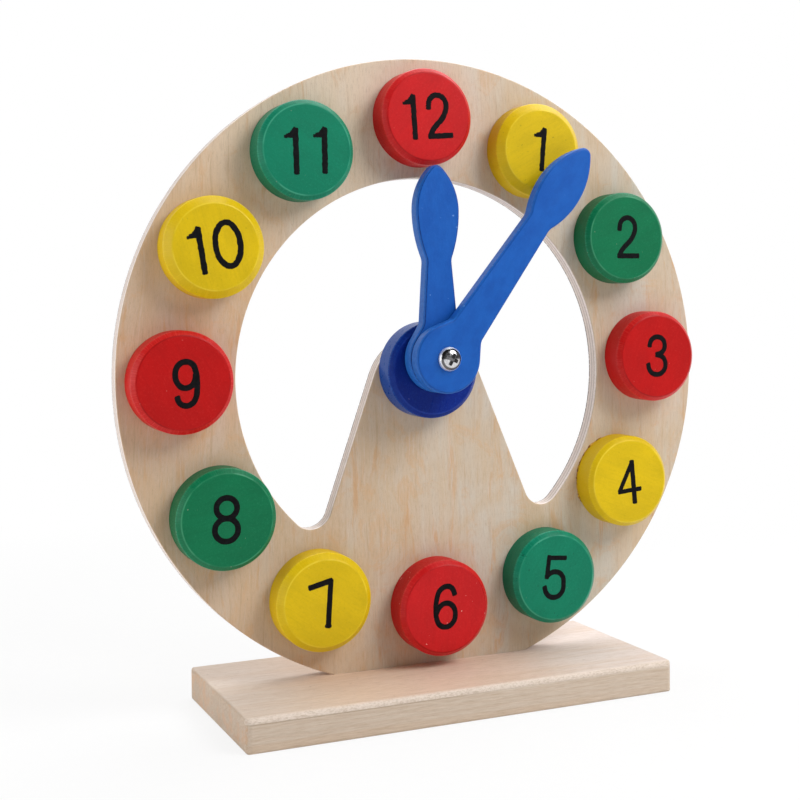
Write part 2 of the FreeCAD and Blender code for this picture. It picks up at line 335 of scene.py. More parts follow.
class Finish:
    """A material while it is being mixed."""

    def __init__(self, name):
        self.material = bpy.data.materials.new(name)
        self.material.use_nodes = True
        self.tree = self.material.node_tree
        self.shader = self.tree.nodes["Principled BSDF"]

    def feed(self, socket, value):
        if isinstance(value, bpy.types.NodeSocket):
            self.tree.links.new(value, socket)
        else:
            socket.default_value = value

    def add(self, kind, inputs, **settings):
        node = self.tree.nodes.new("ShaderNode" + kind)
        for name, value in settings.items():
            setattr(node, name, value)
        for name, value in inputs.items():
            self.feed(node.inputs[name], value)
        return node

    def millimetres(self, centre=(0, 0, 0), turn=0.0):
        """Object coordinates in millimetres from a centre, turned about Y."""
        place = self.add("TexCoord", {}).outputs["Object"]
        return self.add("Mapping", {"Vector": place, "Location": centre, "Rotation": (0, turn, 0),
                                    "Scale": (MM, MM, MM)}, vector_type="TEXTURE").outputs["Vector"]

    def stretch(self, place, scale, shift=(0, 0, 0)):
        return self.add("Mapping", {"Vector": place, "Location": shift, "Scale": scale}).outputs["Vector"]

    def noise(self, place, scale, detail=3.0, roughness=0.5, distortion=0.0):
        return self.add("TexNoise", {"Vector": place, "Scale": scale, "Detail": detail,
                                     "Roughness": roughness, "Distortion": distortion}).outputs["Fac"]

    def maths(self, operation, a, b=0.0, clamp=False):
        return self.add("Math", {0: a, 1: b}, operation=operation, use_clamp=clamp).outputs[0]

    def times(self, product, *others):
        for other in others:
            product = self.maths("MULTIPLY", product, other)
        return product

    def plus(self, a, b, clamp=False):
        return self.maths("ADD", a, b, clamp)

    def distance(self, a, b):
        return self.maths("SQRT", self.plus(self.times(a, a), self.times(b, b)))

    def between(self, value, low, high, to_low=0.0, to_high=1.0):
        """Maps low..high smoothly on to another range and stays inside it."""
        return self.add("MapRange", {"Value": value, "From Min": low, "From Max": high, "To Min": to_low,
                                     "To Max": to_high}, interpolation_type="SMOOTHSTEP").outputs["Result"]

    def mix(self, share, a, b):
        """Goes from one colour to another, where an everyday colour is three numbers."""
        node = self.add("Mix", {0: share}, data_type="RGBA", blend_type="MIX")
        for socket, colour in ((node.inputs[6], a), (node.inputs[7], b)):
            everyday = isinstance(colour, tuple) and len(colour) == 3
            self.feed(socket, paint_code(*colour) if everyday else colour)
        return node.outputs[2]

    def layers(self, colour, *rows):
        """Lays colours on top of each other, each up to its share where its pattern goes low to high."""
        for pattern, low, high, share, code in rows:
            colour = self.mix(self.between(pattern, low, high, 0.0, share), colour, code)
        return colour

    def axes(self, place):
        return self.add("SeparateXYZ", {"Vector": place}).outputs

    def surface_direction(self):
        """The surface normal in the piece's own axes."""
        return self.axes(self.add("TexCoord", {}).outputs["Normal"])

    def bump(self, height, depth, normal=None):
        feeds = {"Height": height, "Strength": 1.0, "Distance": depth}
        if normal is not None:
            feeds["Normal"] = normal
        return self.add("Bump", feeds).outputs["Normal"]

    def done(self, colour, roughness, normal=None, **constants):
        self.feed(self.shader.inputs["Base Color"], colour)
        self.feed(self.shader.inputs["Roughness"], roughness)
        if normal is not None:
            self.feed(self.shader.inputs["Normal"], normal)
        for name, value in constants.items():
            self.shader.inputs[name.replace("_", " ")].default_value = value
        return self.material


print("paint code of mid grey:", [round(v, 3) for v in paint_code(128, 128, 128)])


# %% [markdown]
# ## The base
# The base is a planed strip with its grain along the length, cut to size. A cube is the right start. Its
# edges are rounded by different amounts: the upright corners most, the upper front arris nearly as much and
# the others only a little. Each edge gets a weight, and one bevel modifier then rounds them all, so that
# they run into each other cleanly. The blind slot for the dial's tongue is cut last.

# %% Model the base board
NEARLY_ALL = 0.999


def model_base():
    clean_slate()
    bpy.ops.mesh.primitive_cube_add(size=1, location=board_centre, scale=board_size)
    board = settle()
    weights = board.data.attributes.new("bevel_weight_edge", "FLOAT", "EDGE")
    for edge in board.data.edges:
        start, end = (board.data.vertices[index].co for index in edge.vertices)
        middle = (start + end) / 2
        if abs(start.z - end.z) > SEAM:
            rounding = BOARD_CORNER_ROUND
        elif middle.y < base_low.y + SEAM and middle.z > board_top - SEAM:
            rounding = BOARD_FRONT_ROUND
        else:
            rounding = BOARD_EDGE_ROUND
        weights.data[edge.index].value = rounding / BOARD_CORNER_ROUND
    sanding = board.modifiers.new("sanding", "BEVEL")
    sanding.limit_method = "WEIGHT"
    sanding.width = BOARD_CORNER_ROUND
    sanding.segments = 6
    apply_modifier(sanding)
    print("board:", len(board.data.vertices), "points")
    return board


def slot_cutter():
    """A round-ended block as long as the tongue and its cutter's radius at each end."""
    half_width = PLY_THICKNESS / 2 + TONGUE_FIT
    length = FOOT_WIDTH - 2 * TONGUE_SHOULDER + 2 * half_width
    depth = TONGUE_DEPTH + TONGUE_FIT
    clean_slate()
    bpy.ops.mesh.primitive_cube_add(size=1, scale=(length, 2 * half_width, 2 * depth),
                                    location=(0, dial_front + PLY_THICKNESS / 2, board_top))
    settle()
    edit()
    pick("edges", lambda edge: abs(edge.verts[0].co.z - edge.verts[1].co.z) > depth)
    bpy.ops.mesh.bevel(offset=half_width * NEARLY_ALL, segments=8, affect="EDGES")
    return leave_edit()


base = model_base()
cut_with(base, slot_cutter())
tidy_mesh(base)

# %% [markdown]
# ## Bare sanded wood
# Pale wood is mostly one colour with three things on top: broad bands that drift warmer and cooler, fine
# fibres along the grain, and small dark flecks. All three are noise, stretched along the grain. The board
# also shows growth rings on its ends, so its bands are measured as a distance from a far-off pith line: that
# one recipe draws straight lines on the faces and arcs on the ends.

# %% Finish of the base board
PITH_BEHIND, PITH_BELOW = 70.0, 26.0
RINGS_PER_MM = 0.42


def base_wood():
    wood = Finish("sanded_base_wood")
    place = wood.millimetres()
    x, y, z = wood.axes(place)
    along = wood.stretch(place, (0.05, 1, 1))
    wobble = wood.times(wood.noise(along, 0.25, 3, 0.55), 4.0)
    depth = wood.plus(y, PITH_BEHIND)
    height = wood.plus(z, PITH_BELOW)
    pith = wood.maths("SQRT", wood.plus(wood.times(depth, depth), wood.times(height, height, 3.0)))
    ring = wood.maths("FRACT", wood.times(wood.plus(pith, wobble), RINGS_PER_MM))
    late = wood.between(ring, 0.35, 0.98)
    fibres = wood.noise(along, 4.5, 4, 0.65)
    lines = wood.noise(wood.stretch(place, (0.05, 1, 1), (1, 4, 2)), 3.2, 5, 0.75)
    broad = wood.between(wood.noise(wood.stretch(place, (0.012, 0.6, 0.6), (5, 3, 1)), 0.16, 2), 0.35, 0.65)
    colour = wood.mix(broad, (202, 183, 162), (209, 192, 174))
    colour = wood.mix(wood.times(late, 0.2), colour, (194, 160, 126))
    facing = wood.surface_direction()
    on_end = wood.between(wood.maths("ABSOLUTE", facing["X"]), 0.6, 0.9)
    # The broad top is painted paler and pinker, more so towards the right: a painted sheen of the white
    # studio on the top
    on_top = wood.between(facing["Z"], 0.8, 0.97)
    painted_light = wood.times(on_top, wood.between(x, -70.0, 40.0, 0.4, 0.95))
    colour = wood.mix(painted_light, colour, (234, 220, 213))
    # A tan patch painted along the middle of the top: painted shade, warmed by light thrown from the discs
    middle = wood.times(wood.between(x, -62.0, -30.0), wood.between(x, 50.0, 10.0, 0.0, 0.6))
    colour = wood.mix(wood.times(middle, on_top), colour, (222, 190, 162))
    tan = wood.noise(wood.stretch(place, (0.03, 1, 1), (6, 2, 9)), 0.12, 4, 0.6)
    colour = wood.layers(
        colour,
        (tan, 0.48, 0.64, 0.3, (212, 180, 148)),
        (lines, 0.47, 0.68, 0.5, (178, 150, 122)),
        (lines, 0.45, 0.28, 0.5, (230, 218, 206)),
        (fibres, 0.45, 0.72, 0.35, (178, 152, 126)))
    pores = wood.noise(place, 2.8, 4, 0.7)
    colour = wood.mix(wood.times(on_end, wood.between(pores, 0.42, 0.62, 0.05, 0.65)), colour,
                      (172, 142, 114))
    heart = wood.between(wood.noise(place, 0.18, 4, 0.7), 0.48, 0.62, 0.0, 0.5)
    colour = wood.mix(wood.times(on_end, heart), colour, (208, 164, 126))
    flecks = wood.between(wood.noise(wood.stretch(place, (0.5, 1, 1), (2, 7, 4)), 1.5, 1, 0.3), 0.745, 0.775)
    colour = wood.mix(wood.times(flecks, on_top, 0.5), colour, (128, 96, 76))
    # The upper front arris is sawn rough and stays paler, down to a crisp line, tan towards the left
    round_starts = (base_low.y + BOARD_FRONT_ROUND) / MM
    round_foot = board_top / MM - BOARD_FRONT_ROUND / MM
    fuzz = wood.noise(wood.stretch(place, (0.5, 1, 1)), 2.4, 5, 0.75)
    sawn = wood.times(wood.between(y, round_starts + 0.7, round_starts - 0.1),
                      wood.between(z, round_foot - 0.15, round_foot + 0.05))
    colour = wood.mix(wood.times(sawn, wood.between(fuzz, 0.38, 0.58, 0.1, 0.8)), colour, (234, 219, 206))
    line = wood.times(wood.between(z, round_foot - 0.45, round_foot - 0.2),
                      wood.between(z, round_foot + 0.1, round_foot - 0.1),
                      wood.between(facing["Y"], -0.8, -0.95), wood.between(fuzz, 0.3, 0.55, 0.2, 0.6))
    line_colour = wood.mix(wood.between(x, -15.0, 15.0), (172, 144, 118), (228, 214, 200))
    colour = wood.mix(line, colour, line_colour)
    grain_bump = wood.bump(wood.plus(fibres, wood.times(on_end, pores)), 0.05 * MM)
    rough_bump = wood.bump(wood.times(fuzz, sawn), 0.2 * MM, grain_bump)
    return wood.done(colour, wood.between(fibres, 0.3, 0.8, 0.48, 0.66), rough_bump,
                     Specular_IOR_Level=0.45)


dress(base, "wooden_base", "stand", base_wood(), "base_board")


# %% [markdown]
# ## The dial
# Ring, foot and post are one piece of thin plywood. A circle cut flat at the foot makes the blank. The big
# window is drawn as an outline: half of it is swept and pushed point by point, with the round inner corner
# and the crown as arcs that touch their neighbours, and the other half is its mirror image. It was sawn a
# little askew, so the whole window is turned and shifted before it is cut.

# %% Model the blank with its tongue
RING_STEPS = 360


def at_foot(place):
    return place.z < board_top + SEAM


def model_blank():
    clean_slate()
    bpy.ops.mesh.primitive_circle_add(vertices=RING_STEPS, radius=RING_RADIUS, fill_type="NGON",
                                      location=ring_centre, rotation=LIE_BACK)
    settle()
    half_tongue = FOOT_WIDTH / 2 - TONGUE_SHOULDER
    edit()
    select_all()
    bpy.ops.mesh.bisect(plane_co=(0, 0, board_top), plane_no=(0, 0, 1), use_fill=False, clear_inner=True,
                        threshold=SEAM)
    select_all()
    push((0, PLY_THICKNESS, 0))
    for side in (-1, 1):
        pick("faces", lambda face: all_points(face, at_foot))
        bpy.ops.mesh.bisect(plane_co=(side * half_tongue, 0, 0), plane_no=(1, 0, 0), use_fill=False,
                            threshold=SEAM)
    pick("faces", lambda face: all_points(
        face, lambda place: at_foot(place) and abs(place.x) < half_tongue + SEAM))
    push((0, 0, -TONGUE_DEPTH))
    return leave_edit()


# %% Draw the window round the post
def model_window():
    crown_radius = (POST_HALF_WIDTH + POST_CROWN_DROP * math.tan(POST_FLARE)) * math.cos(POST_FLARE)
    crown_centre = ring_centre - Vector((0, 0, POST_CROWN_DROP))
    outward = Vector((math.cos(POST_FLARE), 0, math.sin(POST_FLARE)))
    down_flank = Vector((math.sin(POST_FLARE), 0, -math.cos(POST_FLARE)))
    flank_top = crown_centre + crown_radius * outward
    # The corner arc touches the flank from outside and the window's edge from inside
    from_window = flank_top + CROTCH_RADIUS * outward - window_centre
    reach = WINDOW_RADIUS - CROTCH_RADIUS
    slide = -from_window.dot(down_flank)
    slide += math.sqrt(slide ** 2 - from_window.length_squared + reach ** 2)
    corner = window_centre + from_window + slide * down_flank
    to_corner = corner - window_centre
    edge_turn = math.atan2(to_corner.x, to_corner.z)
    corner_turn = math.pi / 2 + math.pi - edge_turn - POST_FLARE
    crown_turn = math.pi / 2 - POST_FLARE
    here = start_outline(polar(window_centre, WINDOW_RADIUS, 0))
    here = arc_about(here, window_centre, edge_turn, 120)
    here = arc_about(here, corner, corner_turn, 16)
    here = line_to(here, flank_top)
    arc_about(here, crown_centre, -crown_turn, 24)
    mirror_half()
    bpy.ops.mesh.edge_face_add()
    push((0, 3 * PLY_THICKNESS, 0))
    face_outwards()
    window = leave_edit()
    window.data.transform(turn_about(ring_centre, -WINDOW_TURN, (WINDOW_SHIFT, -PLY_THICKNESS, 0)))
    return window


# %% Cut the window and sand the edges
FLAT_UNDER = math.radians(0.05)
ARRIS_OVER = math.radians(60)


def is_arris(edge):
    """A square edge of the front or back that isn't down on the board."""
    if len(edge.link_faces) != 2 or edge.calc_face_angle(0) < ARRIS_OVER or not is_level(edge):
        return False
    return all_points(edge, lambda place: place.z > board_top - SEAM) and not all_points(edge, at_foot)


def sand_edges(dial):
    clean_slate(dial)
    edit()
    merge_doubles()
    bpy.ops.mesh.dissolve_limited(angle_limit=FLAT_UNDER)
    pick("edges", is_arris)
    bpy.ops.mesh.bevel(offset=PLY_EASE, segments=3, affect="EDGES")
    leave_edit()


dial = model_blank()
cut_with(dial, model_window())
sand_edges(dial)
tidy_mesh(dial)


# %% [markdown]
# ## Three-ply
# The faces of plywood are peeled veneer: a long, lazy figure that runs up the dial, cool and warm patches,
# and a few orange streaks. The cut edge is where plywood gives itself away, with two pale outer layers, a
# core of end grain and the thin dark glue lines between them. The finish asks which way the surface faces
# and draws one or the other.

# %% Finish of the plywood
GLUE_LINES = (0.30, 0.60, 0.92)
LINE_CORE = 0.4


def plywood():
    ply = Finish("three_ply")
    place = ply.millimetres(ring_centre)
    x, y, z = ply.axes(place)
    # Veneer figure: upright bands that wander a little, with soft patches where the cutter lifted
    lazy = ply.noise(ply.stretch(place, (1, 1, 0.4)), 0.05, 2, 0.5)
    wander = ply.plus(x, ply.times(lazy, 7.0))
    drift = ply.add("CombineXYZ", {"X": wander, "Y": y, "Z": z}).outputs["Vector"]
    bands = ply.noise(ply.stretch(drift, (1, 0.3, 0.07)), 0.13, 4, 0.6)
    patches = ply.noise(ply.stretch(place, (1, 0.3, 0.6), (9, 4, 2)), 0.07, 4, 0.65, 0.6)
    fibres = ply.noise(ply.stretch(drift, (1, 0.3, 0.11)), 2.8, 5, 0.75)
    hairs = ply.noise(ply.stretch(drift, (1, 0.3, 0.04), (3, 0, 9)), 0.9, 4, 0.65)
    streaks = ply.noise(ply.stretch(drift, (1, 0.3, 0.16), (31, 0, 7)), 0.2, 4, 0.7, 0.4)
    clouds = ply.noise(ply.stretch(place, (1, 0.3, 0.7), (4, 6, 8)), 0.11, 5, 0.7, 1.0)
    speckle = ply.noise(ply.stretch(place, (1, 1, 0.6)), 4.2, 3, 0.8)
    pores = ply.noise(ply.stretch(place, (1, 0.5, 0.3), (3, 8, 5)), 2.4, 2, 0.6)
    colour = ply.layers(
        (206, 195, 180),
        (bands, 0.38, 0.62, 1.0, (207, 187, 163)),
        (patches, 0.42, 0.66, 0.45, (202, 174, 138)),
        (x, 20.0, -95.0, 0.42, (212, 166, 122)))
    # The upper left of the dial is painted paler: painted light
    painted_light = ply.times(ply.between(z, 20.0, 95.0, 0.0, 0.6), ply.between(x, 50.0, -10.0))
    colour = ply.mix(painted_light, colour, (228, 210, 188))
    colour = ply.layers(
        colour,
        (clouds, 0.51, 0.67, 0.42, (210, 166, 120)),
        (streaks, 0.56, 0.70, 0.58, (206, 156, 106)),
        (hairs, 0.54, 0.70, 0.42, (180, 148, 114)),
        (hairs, 0.44, 0.30, 0.35, (220, 208, 196)),
        (fibres, 0.48, 0.68, 0.38, (170, 146, 120)),
        (fibres, 0.44, 0.30, 0.25, (226, 214, 200)),
        (speckle, 0.5, 0.72, 0.3, (168, 140, 112)),
        (pores, 0.66, 0.73, 0.22, (146, 112, 84)))

    # Cut edge: where each layer begins, measured from the front of the sheet
    layer = ply.maths("DIVIDE", y, PLY_THICKNESS / MM)
    ragged = ply.plus(layer, ply.times(ply.noise(place, 0.8, 3, 0.6), 0.04))

    def line_at(where, width):
        """A thin line on the cut edge, at a share of the sheet's thickness."""
        return ply.times(ply.between(ragged, where - width, where - LINE_CORE * width),
                         ply.between(ragged, where + width, where + LINE_CORE * width))

    first, second, last = GLUE_LINES
    core = ply.times(ply.between(ragged, 0.28, 0.32), ply.between(ragged, 0.92, 0.88))
    dashes = ply.between(ply.noise(place, 1.1, 2, 0.5), 0.36, 0.5, 0.35, 1.0)
    cut = ply.mix(ply.between(ply.noise(place, 1.6, 4, 0.7), 0.3, 0.7), (250, 240, 234), (232, 218, 208))
    for share, code in ((ply.times(core, 0.4), (214, 198, 186)),
                        (ply.times(line_at(first, 0.06), 0.55), (150, 126, 114)),
                        (ply.times(line_at(second, 0.05), 0.5), (150, 126, 114)),
                        (ply.times(line_at(last, 0.06), dashes), (92, 72, 70))):
        cut = ply.mix(share, cut, code)
    on_edge = ply.between(ply.maths("ABSOLUTE", ply.surface_direction()["Y"]), 0.72, 0.45)
    colour = ply.mix(on_edge, colour, cut)
    height = ply.mix(on_edge, fibres, ply.noise(place, 2.2, 5, 0.75))
    return ply.done(colour, ply.between(fibres, 0.3, 0.8, 0.5, 0.66), ply.bump(height, 0.05 * MM),
                    Specular_IOR_Level=0.4)


dress(dial, "ply_dial", "stand", plywood(), "dial_plate")


# %% [markdown]
# ## The discs and the hub
# Thirteen discs are cut from one turned rod. A lathe makes them, so we do the same: draw half the profile
# once, spin it about its axis and soften the two corners of the chamfer. Three of them were chamfered more
# than the rest, so there is a blank for each width. The blanks are then copied, each copy with its own mesh,
# and turned a little, because nobody lines up the grain of painted discs.

# %% Turn the blanks
DISC_STEPS = 120


def turn_blank(chamfer):
    """A disc at the origin with its back on y = 0 and its axis along Y."""
    inner = DISC_RADIUS - chamfer
    profile = [(inner, -disc_thickness), (DISC_RADIUS, chamfer - disc_thickness), (DISC_RADIUS, 0), (0, 0)]
    here = start_outline((0, -disc_thickness, 0))
    for radius, y in profile:
        here = line_to(here, Vector((radius, y, 0)))
    turn_profile(DISC_STEPS)
    pick("edges", lambda edge: is_level(edge) and all_points(
        edge, lambda place: math.hypot(place.x, place.z) > inner - SEAM and place.y < -SEAM))
    bpy.ops.mesh.bevel(offset=DISC_SOFTENING, segments=3, affect="EDGES")
    return tidy_mesh(leave_edit())


blanks = {width: turn_blank(width) for width in {DISC_CHAMFER, *WIDE_CHAMFERS.values()}}
print(len(blanks), "blanks, each of", len(blanks[DISC_CHAMFER].data.vertices), "points")


def copy_blank(blank, centre, turn):
    """A copy of the blank with its own mesh, in place and turned about its axis."""
    copy = blank.copy()
    copy.data = blank.data.copy()
    bpy.context.collection.objects.link(copy)
    copy.data.transform(Matrix.Translation(centre) @ Matrix.Rotation(turn, 4, "Y"))
    return copy


# %% [markdown]
# ## Paint on wood
# The discs are dipped in thin satin paint. The grain shows through as fine lines in the sheen. The chamfer
# is painted lighter round its edges and in faint lathe marks: partly thin paint and partly painted
# highlight. The sides carry painted light, and the line round the face is painted light too. No two pots are
# quite the same shade either. One recipe serves every disc, with its own shade, centre, grain direction and
# small faults: pits where the wood was open, and specks where dust settled in wet paint.

# %% Finish of a painted disc
def disc_paint(name, shade, centre, turn, pitted, rubbed_and_sheen, dusty=0.1, chamfer=DISC_CHAMFER, gloss=0.42,
               shine=0.2):
    body_code, side_painted_light_code, thin_and_highlight_code, painted_rim_line_code = shade
    paint = Finish(name)
    place = paint.millimetres(centre, turn)
    x, y, z = paint.axes(place)
    radius = paint.distance(x, z)
    grain = paint.noise(paint.stretch(place, (1, 0.5, 0.09)), 1.9, 4, 0.65)
    cloud = paint.noise(paint.stretch(place, (1, 1, 0.5)), 0.12, 3, 0.55)
    mottle = paint.noise(place, 1.7, 5, 0.85)
    angle = paint.maths("ARCTAN2", x, z)
    around = paint.add("CombineXYZ", {"X": paint.times(angle, 40.0), "Y": y, "Z": radius}).outputs["Vector"]
    lathe = paint.noise(paint.stretch(around, (1, 0.1, 0.15)), 0.9, 4, 0.7)
    inner = (DISC_RADIUS - chamfer) / MM
    foot = (chamfer - disc_thickness) / MM
    off_face = paint.between(radius, inner - 0.1, inner + 0.3)
    on_chamfer = paint.times(off_face, paint.between(y, foot + 0.4, foot))
    deep = tuple(value * 0.78 for value in body_code)
    colour = paint.layers(body_code, (cloud, 0.3, 0.7, 0.3, deep), (grain, 0.45, 0.7, 0.13, deep))
    # The side, and the rubbed part of the chamfer, take the side colour: painted light, lighter or darker
    # than the face by how the side catches the lamps
    side_light_share = paint.maths("SUBTRACT", off_face, on_chamfer)
    side_light_share = paint.plus(side_light_share, paint.times(on_chamfer, rubbed_and_sheen), clamp=True)
    colour = paint.mix(paint.times(side_light_share, 0.8), colour, side_painted_light_code)
    colour = paint.layers(colour, (mottle, 0.52, 0.68, 0.26, thin_and_highlight_code), (mottle, 0.46, 0.32, 0.32, deep))
    # Lathe marks on the chamfer are painted lighter: partly thin paint, partly painted highlight
    fuzz = paint.times(on_chamfer, paint.between(lathe, 0.45, 0.75, 0.1 * rubbed_and_sheen, rubbed_and_sheen))
    colour = paint.mix(fuzz, colour, thin_and_highlight_code)
    # The line round the face is painted light: a painted highlight, and a painted dark line on the reds
    rim = paint.times(paint.between(radius, inner - 0.35, inner), paint.between(radius, inner + 0.35, inner),
                      paint.between(paint.noise(place, 0.11, 2), 0.42, 0.58, 0.15, 0.65))
    colour = paint.mix(rim, colour, painted_rim_line_code)
    # A thin bright line painted on the outer corner: a painted highlight
    outer = inner + chamfer / MM
    painted_corner_highlight = paint.times(off_face, paint.between(radius, outer - 0.4, outer - 0.1),
                       paint.between(y, foot + 0.35, foot + 0.1), paint.between(lathe, 0.4, 0.6, 0.1, 0.55))
    colour = paint.mix(painted_corner_highlight, colour, thin_and_highlight_code)
    pits = paint.noise(paint.stretch(place, (1, 1, 0.5), (7, 2, 9)), 1.4, 2, 0.4)
    dust = paint.noise(paint.stretch(place, (1, 1, 1), (17, 12, 3)), 1.05, 1, 0.2)
    colour = paint.layers(
        colour,
        (pits, 0.69, 0.74, pitted, tuple(value * 0.4 for value in body_code)),
        (dust, 0.78, 0.80, dusty, (238, 214, 206)))
    ridges = paint.bump(grain, 0.02 * MM)
    ridges = paint.bump(mottle, 0.035 * MM, ridges)
    ridges = paint.bump(paint.times(lathe, on_chamfer), 0.06 * MM, ridges)
    # The cutter leaves the chamfer smoother than the sawn face, so its paint dries glossier
    polish = paint.maths("SUBTRACT", 1.0, paint.times(on_chamfer, 0.35))
    rough = paint.times(paint.between(grain, 0.3, 0.8, gloss, gloss + 0.14), polish)
    return paint.done(colour, rough, ridges, Specular_IOR_Level=shine)


# %% Shades and faults of the discs
# Each shade is its face, its side in painted light, the thin paint that also colours the painted highlights,
# and the line round the face in painted light
BRIGHT_RED = ((203, 20, 24), (196, 6, 8), (222, 70, 66), (150, 8, 8))
DEEP_RED = ((189, 4, 4), (200, 4, 4), (216, 66, 60), (140, 4, 4))
YELLOW = ((222, 188, 4), (218, 180, 0), (236, 206, 44), (240, 214, 64))
LEAF_GREEN = ((0, 114, 72), (0, 98, 58), (46, 148, 106), (78, 164, 122))
SEA_GREEN = ((0, 126, 94), (0, 110, 78), (44, 158, 126), (80, 176, 144))
NAVY = ((12, 40, 130), (0, 72, 158), (50, 104, 190), (34, 68, 164))
# Each disc's shade, the clockwise turn of its grain in degrees, how pitted and dusty it is, and how rubbed
# its chamfer is, with painted highlight
DISC_PAINTS = {
    1: (YELLOW, 62, 0.35, 0.05, 0.4), 2: (LEAF_GREEN, 70, 0.1, 0.14, 0.35),
    3: (DEEP_RED, 20, 0.1, 0.1, 0.6), 4: (YELLOW, 110, 0.1, 0.05, 0.4),
    5: (SEA_GREEN, 35, 0.5, 0.05, 0.35), 6: (BRIGHT_RED, 5, 0.1, 0.55, 0.4),
    7: (YELLOW, 125, 0.1, 0.05, 0.4), 8: (LEAF_GREEN, 80, 0.1, 0.2, 0.35),
    9: (DEEP_RED, 150, 0.15, 0.1, 0.8), 10: (YELLOW, 165, 0.2, 0.05, 0.4),
    11: (SEA_GREEN, 128, 0.1, 0.1, 0.45), 12: (BRIGHT_RED, 42, 0.1, 0.05, 0.35),
}
COLOUR_ORDER = ("yellow", "green", "red")

# %% Copy, place and paint the twelve discs
disc_centres = {}
for number, (shade, grain_turn, pitted, dusty, rubbed_and_sheen) in DISC_PAINTS.items():
    node = "number_disc_%02d" % number
    low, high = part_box(node)
    centre = Vector(((low.x + high.x) / 2, dial_front, (low.z + high.z) / 2))
    disc_centres[number] = centre
    colour = COLOUR_ORDER[(number - 1) % 3]
    turn = math.radians(grain_turn)
    chamfer = WIDE_CHAMFERS.get(number, DISC_CHAMFER)
    finish = disc_paint("%s_disc_paint_%02d" % (colour, number), shade, centre, turn, pitted, rubbed_and_sheen,
                        dusty, chamfer)
    dress(copy_blank(blanks[chamfer], centre, turn), "painted_disc_%02d" % number, "stand", finish,
          node)


# %% Drill and paint the hub
HUB_BORE = 1.97 * MM
HUB_GRAIN_TURN = 0.3

hub = copy_blank(blanks[DISC_CHAMFER], hub_centre, 0)
drill(hub, pivot, HUB_BORE, 3 * disc_thickness)
hub_paint = disc_paint("navy_hub_paint", NAVY, hub_centre, HUB_GRAIN_TURN, pitted=0.0, rubbed_and_sheen=0.1,
                       gloss=0.26, shine=0.12)
dress(tidy_mesh(hub), "hub_boss", "stand", hub_paint, "hub_block")
for spare in blanks.values():
    bpy.data.objects.remove(spare)


# %% [markdown]
# ## A bead of glue
# One disc was pushed down on too much glue. It squeezed out on one side and dried brown. A bead is a curve
# round the foot of the disc with a thin round bevel, swollen here and there, which is then made a mesh and
# roughened.

# %% Squeeze out and colour the glue
GLUED_DISC = 4
GLUE_FROM, GLUE_TO = math.radians(-118), math.radians(-22)
GLUE_BEAD = 0.3 * MM
GLUE_GAP = 0.1 * MM
GLUE_ROUGHNESS = 0.09 * MM
GLUE_KNOTS = 26


def squeeze_glue():
    clean_slate()
    points, radii = [], []
    for step in range(GLUE_KNOTS):
        around = GLUE_FROM + step / (GLUE_KNOTS - 1) * (GLUE_TO - GLUE_FROM)
        points.append(polar(disc_centres[GLUED_DISC], DISC_RADIUS + GLUE_GAP, around))
        radii.append(0.3 + 0.5 * abs(math.sin(2.3 * step)) + 0.9 * max(0, math.sin(0.7 * step)) ** 6)
    round_line(points, radii, GLUE_BEAD, 3, 2)
    edit()
    merge_doubles()
    bpy.ops.transform.vertex_random(offset=GLUE_ROUGHNESS, uniform=1.0, normal=0.0, seed=GLUED_DISC)
    return tidy_mesh(leave_edit())


def dried_glue():
    glue = Finish("dried_brown_glue")
    place = glue.millimetres(disc_centres[GLUED_DISC])
    mottle = glue.noise(place, 1.2, 4, 0.7)
    colour = glue.mix(glue.between(mottle, 0.42, 0.62), (206, 160, 48), (130, 80, 20))
    return glue.done(colour, glue.between(mottle, 0.3, 0.7, 0.35, 0.55), glue.bump(mottle, 0.05 * MM))


dress(squeeze_glue(), "glue_bead", "stand", dried_glue())


# %% [markdown]
# ## The hands
# Each hand is sawn from a flat strip: a round boss, straight cheeks, a tapering arm and a pointed leaf. The
# outline is drawn like the window, half by sweeping and half by mirroring. The inner corners are then
# rounded with a vertex bevel, the sheet is thickened, and both rims get the broad rounding that a small
# child's clock needs.

